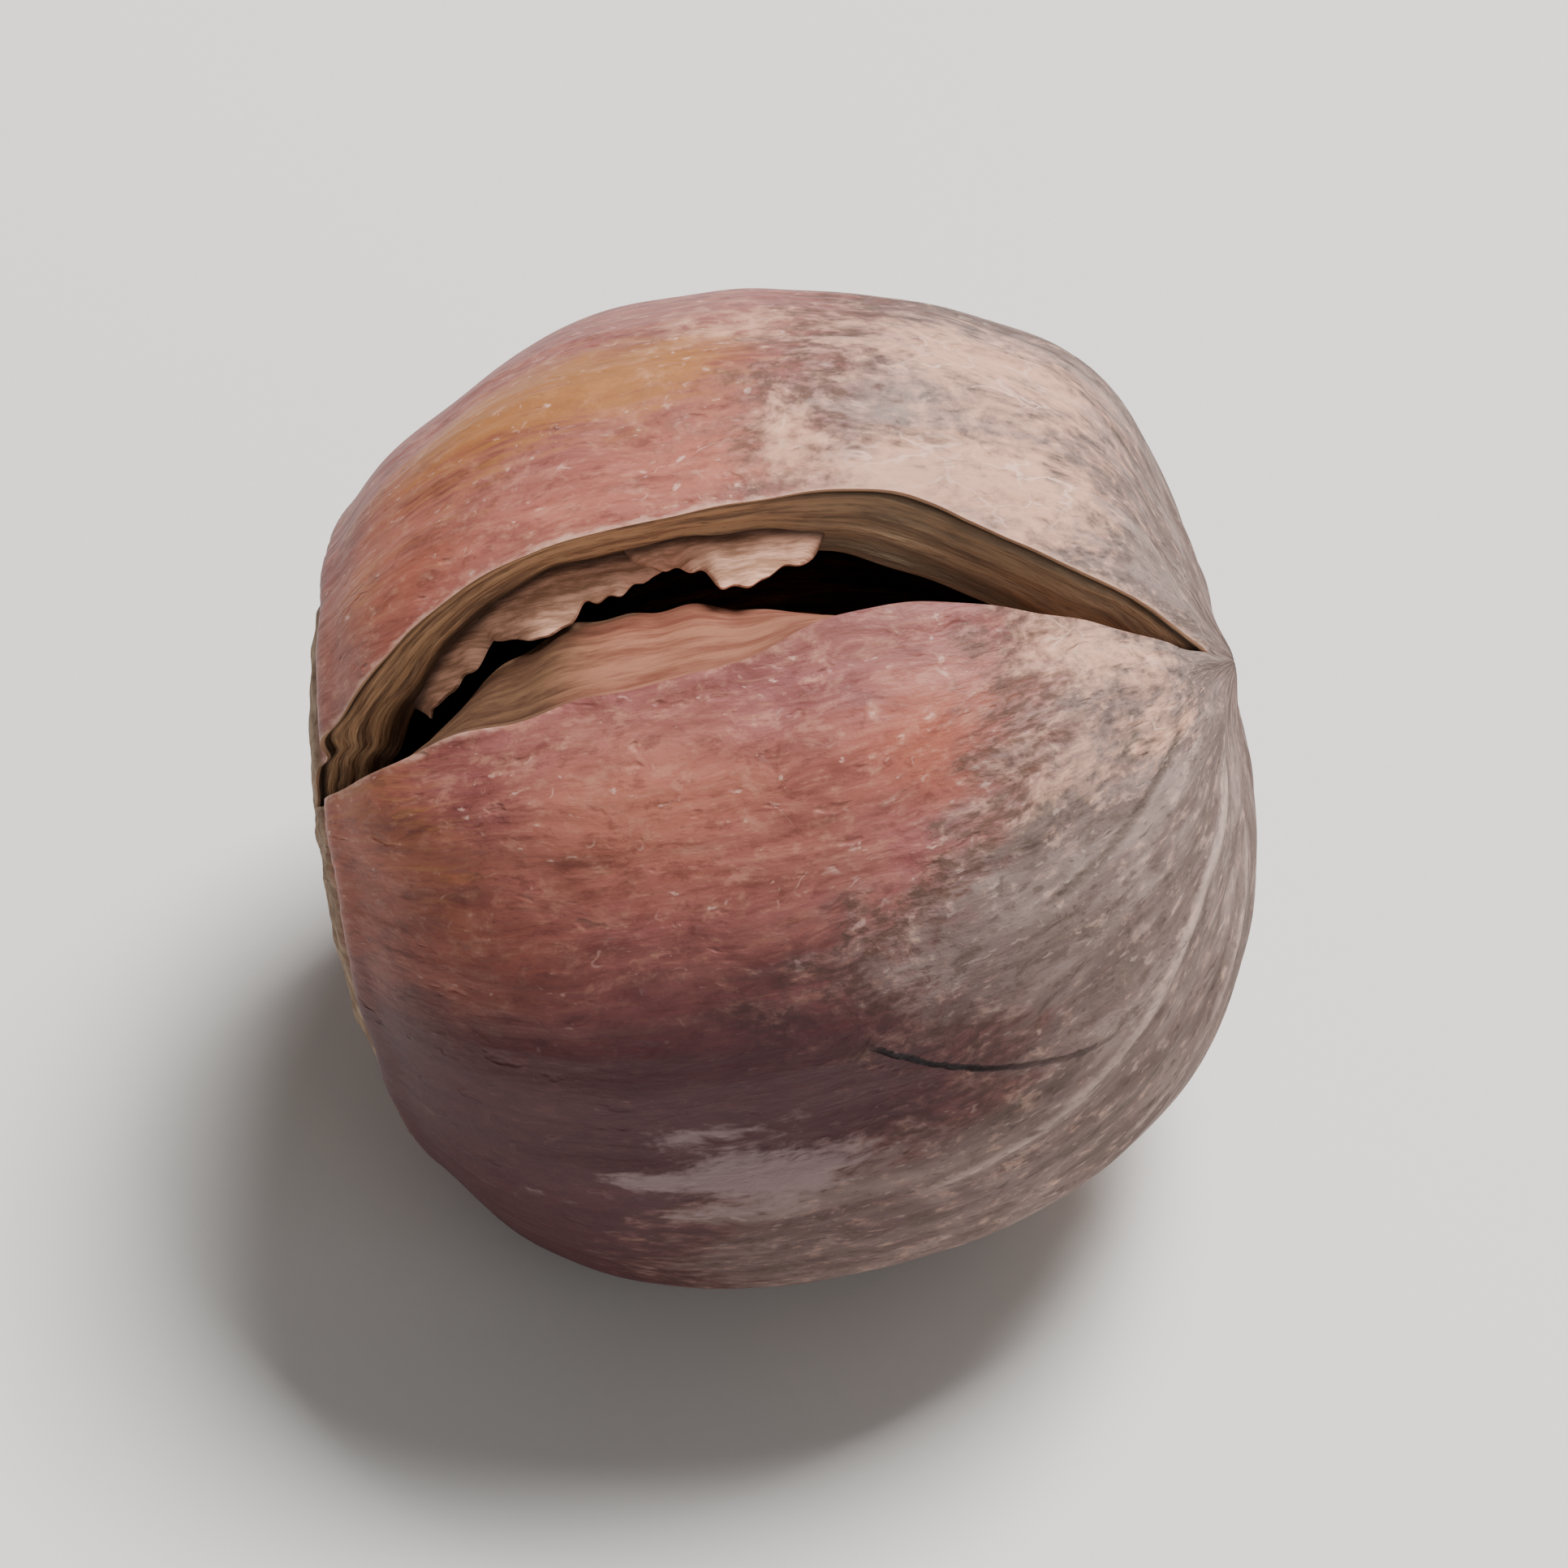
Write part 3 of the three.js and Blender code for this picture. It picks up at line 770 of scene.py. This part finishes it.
class Shader:
    """A material whose nodes are made by short calls, each returning the socket to link on."""

    def __init__(self, name):
        self.material = bpy.data.materials.new(name)
        self.material.use_nodes = True
        self.tree = self.material.node_tree
        self.surface = self.tree.nodes["Principled BSDF"]

    def node(self, kind, inputs, output=0, **settings):
        """Adds a node with its inputs linked or set, and returns one of its outputs."""
        node = self.tree.nodes.new(kind)
        for key, value in settings.items():
            setattr(node, key, value)
        for key, value in inputs.items():
            self.set(node.inputs[key], value)
        return node.outputs[output]

    def set(self, socket, value):
        if isinstance(value, bpy.types.NodeSocket):
            self.tree.links.new(value, socket)
        else:
            socket.default_value = value

    def value(self, name, output="Fac"):
        """A value that is kept for every vertex of the mesh."""
        return self.node("ShaderNodeAttribute", {}, output, attribute_name=name)

    def part(self, vector, axis):
        """One of the three numbers of a vector."""
        return self.node("ShaderNodeSeparateXYZ", {0: vector}, axis)

    def math(self, operation, a, b=0.0):
        return self.node("ShaderNodeMath", {0: a, 1: b}, operation=operation)

    def scaled(self, vector, scales):
        return self.node("ShaderNodeVectorMath", {0: vector, 1: scales}, operation="MULTIPLY")

    def noise(self, vector, scales, detail=3.0, roughness=0.55):
        """Noise whose lumps are 1/scales mm across, from 0 to 1."""
        inputs = {"Vector": self.scaled(vector, scales), "Scale": 1.0}
        inputs.update({"Detail": detail, "Roughness": roughness})
        return self.node("ShaderNodeTexNoise", inputs)

    def lines(self, vector, scales, width):
        """Thin wandering lines, 1 on a line and 0 off it."""
        off_line = self.math("ABSOLUTE", self.math("SUBTRACT", self.noise(vector, scales, 2.0), 0.5))
        return self.step(off_line, 0.0, width, 1.0, 0.0)

    def net(self, vector, scales, width):
        """Thin lines that meet in a net of cells 1/scales mm across."""
        inputs = {"Vector": self.scaled(vector, scales), "Scale": 1.0}
        edge = self.node("ShaderNodeTexVoronoi", inputs, "Distance", feature="DISTANCE_TO_EDGE")
        return self.step(edge, 0.0, width, 1.0, 0.0)

    def pushed(self, vector, scales, amount):
        """The vector with its places pushed about by noise, so that lines along it wander."""
        inputs = {"Vector": self.scaled(vector, scales), "Scale": 1.0, "Detail": 2.0}
        cloud = self.node("ShaderNodeTexNoise", inputs, "Color")
        push = self.node("ShaderNodeVectorMath", {0: cloud, 1: (-0.5, -0.5, -0.5)}, operation="ADD")
        push = self.scaled(push, (amount, amount, amount * 2))
        return self.node("ShaderNodeVectorMath", {0: vector, 1: push}, operation="ADD")

    def step(self, value, low, high, first=0.0, last=1.0):
        """Goes smoothly from first to last as the value goes from low to high."""
        inputs = {"Value": value, "From Min": low, "From Max": high, "To Min": first, "To Max": last}
        return self.node("ShaderNodeMapRange", inputs, interpolation_type="SMOOTHSTEP")

    def total(self, *shares):
        """The sum of (value, weight) pairs."""
        sums = [self.math("MULTIPLY", value, weight) for value, weight in shares]
        result = sums[0]
        for term in sums[1:]:
            result = self.math("ADD", result, term)
        return result

    def product(self, result, *others):
        """The product of two or more values."""
        for other in others:
            result = self.math("MULTIPLY", result, other)
        return result

    def mix(self, share, a, b):
        """Colour a where the share is 0 and colour b where it is 1."""
        a, b = [colour(end) if isinstance(end, str) else end for end in (a, b)]
        return self.node("ShaderNodeMix", {0: share, 6: a, 7: b}, 2, data_type="RGBA")

    def coats(self, base, *coats):
        """Lays coats on a base colour, each as (where, low, high, strength, colour).

        A coat reaches its strength as the value of where goes from low to high.
        """
        for where, low, high, strength, tint in coats:
            base = self.mix(self.step(where, low, high, 0.0, strength), base, tint)
        return base

    def finish(self, base, roughness, height=None, depth=0.03, specular=0.5):
        """Sets the surface, with bumps of a depth in mm."""
        self.set(self.surface.inputs["Base Color"], base)
        self.set(self.surface.inputs["Roughness"], roughness)
        self.surface.inputs["Specular IOR Level"].default_value = specular
        if height is not None:
            bumps = {"Height": height, "Distance": depth * MM, "Strength": 1.0}
            self.set(self.surface.inputs["Normal"], self.node("ShaderNodeBump", bumps))
        return self.material


def skin_noises(shader):
    """The grain of the skin, and noises along it that several of its layers share."""
    grain = shader.pushed(shader.value("grain", "Vector"), (0.5, 0.5, 0.35), 0.7)
    return SimpleNamespace(
        grain=grain,
        fine=shader.noise(grain, (3.0, 3.0, 0.5), 4),
        broad=shader.noise(grain, (0.45, 0.45, 0.25), 3),
        fleck=shader.noise(grain, (5.0, 5.0, 2.6), 3),
        mottle=shader.noise(grain, (1.9, 1.9, 1.6), 4, 0.65),
        islands=shader.noise(grain, (1.4, 1.4, 0.8), 4, 0.7),
    )


def brown_skin(shader, noises):
    """Dusty reddish-brown skin with streaks, pale curls, russet and ochre patches, rosy patches that are
    partly painted sheen, and pale flecks that are partly painted glints.
    """
    grain, fine, broad = noises.grain, noises.fine, noises.broad
    smudge = shader.noise(grain, (1.1, 1.1, 0.45), 4, 0.6)
    hairs = shader.noise(grain, (8.0, 8.0, 0.9), 3)
    crackle = shader.noise(grain, (2.4, 2.4, 1.2), 4, 0.7)
    specks = shader.noise(grain, (2.6, 2.6, 2.0), 2)
    spots = shader.noise(grain, (1.5, 1.5, 1.2), 2)
    curls = shader.lines(grain, (1.2, 1.2, 0.9), 0.02)
    skin = shader.coats(
        shader.mix(shader.step(fine, 0.3, 0.7), "#824a46", "#985c59"),
        (broad, 0.42, 0.7, 0.5, "#ac7267"),
        # Rosy coat: partly real tint, partly painted sheen
        (shader.total((shader.value("rosy_and_sheen"), 1.0), (broad, 0.8)), 0.4, 1.4, 0.8, "#bd725b"),
        (shader.total((shader.value("russet"), 1.0), (broad, 0.8)), 0.4, 1.4, 0.85, "#ab5d46"),
        (smudge, 0.5, 0.3, 0.5, "#64362e"),
        (hairs, 0.52, 0.75, 0.3, "#bf8575"),
        (hairs, 0.45, 0.3, 0.25, "#572c25"),
        (crackle, 0.53, 0.67, 0.4, "#c98d78"),
        (crackle, 0.47, 0.34, 0.4, "#572a25"),
        (shader.total((shader.value("ochre"), 1.0), (hairs, 1.6), (fine, 0.8)), 1.3, 2.3, 0.65, "#ab7434"),
    )
    skin = shader.mix(shader.product(curls, shader.step(spots, 0.6, 0.7, 0.0, 0.5)), skin, "#dcae9e")
    # Pale specks and flecks: partly real marks on the skin, partly painted glints
    return shader.coats(
        skin, (specks, 0.7, 0.78, 0.6, "#e4bfb0"), (noises.fleck, 0.66, 0.75, 0.6, "#e0b4a4")
    )


def pale_veins(shader, noises):
    """How strongly a net of pale veins shows, mostly where the down is pale."""
    patchy = shader.noise(noises.grain, (0.9, 0.9, 0.7), 3)
    patchy = shader.total((patchy, 1.0), (shader.value("pale"), 0.5))
    net = shader.net(shader.pushed(noises.grain, (1.6, 1.6, 1.2), 0.7), (1.0, 1.0, 0.7), 0.06)
    return shader.product(net, shader.step(patchy, 0.75, 1.15, 0.0, 0.6))


def grey_down(shader, noises, veins):
    """Grey-beige down with ridges that run to the tip: its colour, and its height for the bumps."""
    fleck, mottle = noises.fleck, noises.mottle
    blotch = shader.noise(noises.grain, (0.7, 0.7, 0.5), 3, 0.6)
    ridges = shader.noise(noises.grain, (0.9, 0.9, 0.07), 2, 0.4)
    ridge = shader.value("ridge")
    down = shader.coats(
        shader.mix(shader.step(noises.fine, 0.3, 0.7), "#6d5a55", "#806c66"),
        (blotch, 0.5, 0.34, 0.5, "#5e5247"),
        (blotch, 0.5, 0.66, 0.6, "#99847d"),
        (mottle, 0.46, 0.34, 0.55, "#54463d"),
        (mottle, 0.54, 0.68, 0.6, "#9f8b83"),
        # Pale on the ridges and dark in the furrows: partly real colour, partly painted highlight and shade
        (ridges, 0.52, 0.68, 0.35, "#a8948b"),
        (shader.total((ridge, 1.0), (mottle, 1.2)), 0.8, 1.6, 0.7, "#c0a79c"),
        (ridge, -0.2, -0.8, 0.6, "#433a30"),
    )
    down = shader.mix(veins, down, "#c8a899")
    down = shader.coats(down, (fleck, 0.6, 0.72, 0.5, "#bba59a"), (fleck, 0.4, 0.3, 0.5, "#463a33"))
    return down, shader.total((veins, 0.5), (ridges, 0.6), (mottle, 0.9))


def down_cover(shader, noises):
    """How far the down covers the skin, and how dark its ragged border is."""
    cover = shader.total(
        (shader.value("down"), 0.8),
        (shader.value("bloom"), 1.6),
        (noises.fine, 0.8),
        (noises.islands, 3.2),
        (noises.fleck, 0.6),
    )
    ragged = shader.step(noises.fleck, 0.58, 0.42, 0.0, 0.6)
    border = shader.product(shader.step(cover, 1.7, 2.3), shader.step(cover, 3.2, 2.6), ragged)
    return shader.step(cover, 1.4, 3.6), border


def pale_down(shader, noises, skin, veins):
    """Pale pinkish down beside the crack, partly its own colour and partly painted light on the lit top of
    the shell, with paler veins in it.
    """
    share = shader.value("pale")
    pale = shader.total((share, 1.0), (noises.mottle, 2.1), (noises.fleck, 1.1), (noises.islands, 0.9))
    skin = shader.coats(skin, (pale, 2.1, 3.3, 0.8, "#e6ad90"))
    return shader.mix(shader.product(veins, shader.step(share, 0.2, 0.8)), skin, "#f0c8b4")


def painted_shade_side(shader, noises, skin, covered):
    """Painted shade: a dark purple-brown on the lower side, which shows less through the down."""
    painted_shade = shader.total((shader.value("painted_shade"), 1.0), (noises.broad, 0.7), (noises.islands, 0.5))
    bare = shader.step(covered, 0.0, 1.0, 1.0, 0.55)
    return shader.mix(shader.product(shader.step(painted_shade, 0.4, 1.6, 0.0, 0.9), bare), skin, "#3b1f27")


def frosty_bloom(shader, noises, skin):
    """Greyish bloom that is drawn out in tongues along the nut."""
    tongues = shader.noise(noises.grain, (1.5, 1.5, 0.3), 4, 0.6)
    frost = shader.total(
        (shader.value("bloom"), 1.0), (tongues, 1.7), (noises.islands, 1.3), (noises.fleck, 1.0)
    )
    return shader.coats(skin, (frost, 2.35, 3.0, 0.8, "#8a7575"))


def disc_face(shader, noises):
    """The rough dull scar at the base: its colour, its grit and how far it covers the skin."""
    places = shader.node("ShaderNodeTexCoord", {}, "Object")
    grit = shader.noise(places, (GRIT, GRIT, GRIT), 4, 0.65)
    rays = shader.noise(noises.grain, (2.5, 2.5, 0.4), 4)
    face = shader.mix(shader.step(grit, 0.3, 0.7), "#6d5441", "#98806a")
    face = shader.coats(face, (rays, 0.48, 0.7, 0.4, "#ae967d"))
    inwards = shader.total((shader.value("disc"), 1.0), (noises.fleck, 0.8))
    return face, grit, shader.step(inwards, 0.4, 0.9)


def hairline_split(shader, fleck):
    """A dark split, widest near its upper end and faint at the other."""
    hair = shader.value("hairline", "Vector")
    across = shader.total((shader.part(hair, 0), 1.0), (fleck, 0.2), (1.0, -0.1))
    line = shader.step(shader.math("ABSOLUTE", across), 0.1, 0.03)
    share = shader.part(hair, 1)
    fainter = shader.step(share, 0.42, 0.62, 1.0, 0.5)
    return shader.product(line, shader.step(share, 0.0, 0.1), fainter, shader.step(share, 1.0, 0.8))


def skin_material():
    """The outside: brown skin and down, their patches with painted shade, sheen and light among them, the
    pale lip edges (partly wear, partly painted highlight), the disc and the split.
    """
    shader = Shader("nut_skin")
    noises = skin_noises(shader)
    fine, fleck = noises.fine, noises.fleck
    veins = pale_veins(shader, noises)
    down, fuzz = grey_down(shader, noises, veins)
    covered, border = down_cover(shader, noises)
    skin = shader.mix(covered, brown_skin(shader, noises), down)
    skin = shader.mix(border, skin, "#4d3e30")
    skin = pale_down(shader, noises, skin, veins)
    # Painted shade on the lower side
    skin = painted_shade_side(shader, noises, skin, covered)
    skin = frosty_bloom(shader, noises, skin)
    # A pale rim along the lips: partly wear, partly a painted highlight on the edge
    from_lip = shader.total((shader.value("from_lip"), 1.0), (fleck, 0.5))
    skin = shader.coats(skin, (from_lip, 0.42, 0.2, 0.7, "#cfa48f"))
    face, grit, on_disc = disc_face(shader, noises)
    skin = shader.mix(on_disc, skin, face)
    cleft = hairline_split(shader, fleck)
    skin = shader.mix(cleft, skin, "#1a0f10")
    dullness = shader.total((shader.math("MAXIMUM", covered, on_disc), 1.0), (fine, 0.5))
    nick = shader.step(shader.noise(noises.grain, (2.2, 2.2, 1.0), 2), 0.62, 0.76)
    fuzz = shader.product(fuzz, covered)
    height = shader.total((fine, 0.5), (fleck, 0.3), (grit, 0.2), (fuzz, 0.7), (nick, -0.5), (cleft, -2.0))
    return shader.finish(skin, shader.step(dullness, 0.15, 1.3, 0.5, 0.85), height, 0.07, LOW_SPECULAR)


def cut_material():
    """The broken wall: layered fibres under a thin skin, with painted shadow under the skin's edge and in a
    band deep inside, and a darker colour at the front lip that is painted to even out its stronger light.
    """
    shader = Shader("cut_wall")
    depth = shader.value("depth")
    along = shader.part(shader.value("grain", "Vector"), 2)
    across = shader.node("ShaderNodeCombineXYZ", {0: depth, 1: along})
    layers = shader.noise(across, (9.0, 0.3, 1.0), 4, 0.65)
    fibre = shader.noise(across, (24.0, 1.6, 1.0), 3)
    wall = shader.coats(
        shader.mix(shader.step(layers, 0.38, 0.6), "#886650", "#cb9d76"),
        (fibre, 0.52, 0.75, 0.6, "#cdaa80"),
        (fibre, 0.45, 0.3, 0.45, "#46301f"),
        # Painted shadow: a dark band deep in the wall, beside where the lining strips hang from the back
        # lip
        (depth, 0.68, 0.84, 0.75, "#2f1b12"),
        (depth, 0.9, 0.97, 0.8, "#8f6b54"),
        (along, 16.0, 23.0, 0.5, "#8e826c"),
    )
    # Painted shadow: a dark line just under the skin's edge, where the overhanging skin shades the wall
    overhang_shadow = shader.product(shader.step(depth, 0.03, 0.07), shader.step(depth, 0.2, 0.1), 0.85)
    wall = shader.mix(overhang_shadow, wall, "#170c09")
    wall = shader.coats(wall, (depth, 0.06, 0.03, 1.0, "#c09678"))
    # Painted light: the front lip's cut is darker and the back wall lighter, though they are one material,
    # to even out the light each gets; where the chip is rounded it takes the skin's colour
    front_cut_painted_dim = shader.mix(shader.step(fibre, 0.3, 0.7), "#43291d", "#513422")
    skin = shader.mix(shader.step(layers, 0.38, 0.6), "#7b4537", "#915b49")
    skinned = shader.total((shader.value("rounded"), 1.0), (layers, 0.8))
    front_cut_painted_dim = shader.mix(shader.step(skinned, 0.55, 1.3), front_cut_painted_dim, skin)
    wall = shader.mix(shader.product(shader.value("front_lip"), 0.85), wall, front_cut_painted_dim)
    return shader.finish(wall, 0.78, shader.total((layers, 1.0), (fibre, 0.6)), 0.06, LOW_SPECULAR)


def inside_material():
    """The smooth brown lining of the hollow."""
    shader = Shader("nut_inside")
    fine = shader.noise(shader.value("grain", "Vector"), (3.0, 3.0, 0.3), 4)
    lining = shader.mix(shader.step(fine, 0.35, 0.7), "#3a2216", "#6d472e")
    return shader.finish(lining, 0.8, fine, 0.05)


def lining_material():
    """Dry papery fibre, with painted shade at its root in the back lip."""
    shader = Shader("torn_fibre")
    fine = shader.noise(shader.value("grain", "Vector"), (6.0, 6.0, 0.9), 4, 0.65)
    fibre = shader.mix(shader.step(fine, 0.35, 0.65), "#a5775c", "#e9b094")
    # Painted shade where the strips hang from the back lip
    fibre = shader.coats(fibre, (shader.value("rooted"), 0.7, 1.0, 0.85, "#2a1912"))
    return shader.finish(fibre, 0.85, fine, 0.05)


def kernel_material():
    """Dry brown kernel skin, its browns partly darkened as painted shade deep in the crack, darker in its
    furrows and with pale flakes.
    """
    shader = Shader("kernel_skin")
    grain = shader.value("grain", "Vector")
    fine = shader.noise(grain, (3.5, 3.5, 0.4), 4)
    flakes = shader.noise(grain, (8.0, 8.0, 1.2), 3)
    skin = shader.coats(
        # The kernel's own brown, partly darkened as painted shade deep in the crack
        shader.mix(shader.step(fine, 0.35, 0.7), "#461f12", "#7c4423"),
        (shader.value("furrow"), -0.4, -1.0, 0.7, "#351a10"),
        (flakes, 0.62, 0.75, 0.6, "#a5713f"),
    )
    return shader.finish(skin, 0.62, shader.total((fine, 0.8), (flakes, 0.5)), 0.06)


def make_piece(mesh, materials, replaced=None):
    """A piece that rides with the nut and may replace one of the solids."""
    for material in materials:
        mesh.materials.append(material)
    mesh.shade_smooth()
    mesh.set_sharp_from_angle(angle=math.radians(50))
    piece = bpy.data.objects.new(mesh.name, mesh)
    bpy.context.scene.collection.objects.link(piece)
    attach(piece, "root")
    if replaced:
        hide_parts(replaced)


def aim(thing, spot, target):
    """Puts a camera or light in its place and turns it to the target."""
    thing.location = spot
    thing.rotation_euler = (target - spot).to_track_quat("-Z", "Y").to_euler()
    bpy.context.scene.collection.objects.link(thing)


def make_camera():
    data = bpy.data.cameras.new("camera")
    data.lens = LENS
    data.clip_start = 0.01
    camera = bpy.data.objects.new("camera", data)
    away = Vector((0, -math.cos(VIEW_ELEVATION), math.sin(VIEW_ELEVATION)))
    aim(camera, AIM + away * VIEW_DISTANCE, AIM)
    bpy.context.scene.camera = camera


def make_light(name, spot, size, power):
    data = bpy.data.lights.new(name, "AREA")
    data.size = size
    data.energy = power
    aim(bpy.data.objects.new(name, data), Vector(spot), AIM)


def make_stage():
    """A pale floor under a dim sky, a soft light above at the right and a weak one at the front."""
    mesh = bpy.data.meshes.new("floor")
    half = FLOOR_SIZE / 2
    corners = [(-half, -half, 0), (half, -half, 0), (half, half, 0), (-half, half, 0)]
    mesh.from_pydata(corners, [], [(0, 1, 2, 3)])
    shader = Shader("floor")
    mesh.materials.append(shader.finish(colour(FLOOR_COLOUR), 0.7))
    floor = bpy.data.objects.new("floor", mesh)
    bpy.context.scene.collection.objects.link(floor)
    for light in LIGHTS:
        make_light(*light)
    world = bpy.data.worlds.new("studio")
    world.use_nodes = True
    backdrop = world.node_tree.nodes["Background"]
    backdrop.inputs["Color"].default_value = colour(SKY_COLOUR)
    backdrop.inputs["Strength"].default_value = SKY_STRENGTH
    bpy.context.scene.world = world


make_camera()
make_stage()
make_piece(shell_mesh(), [skin_material(), cut_material(), inside_material()], "shell")
make_piece(strip_mesh(), [lining_material()])
make_piece(kernel_mesh(), [kernel_material()], "kernel")
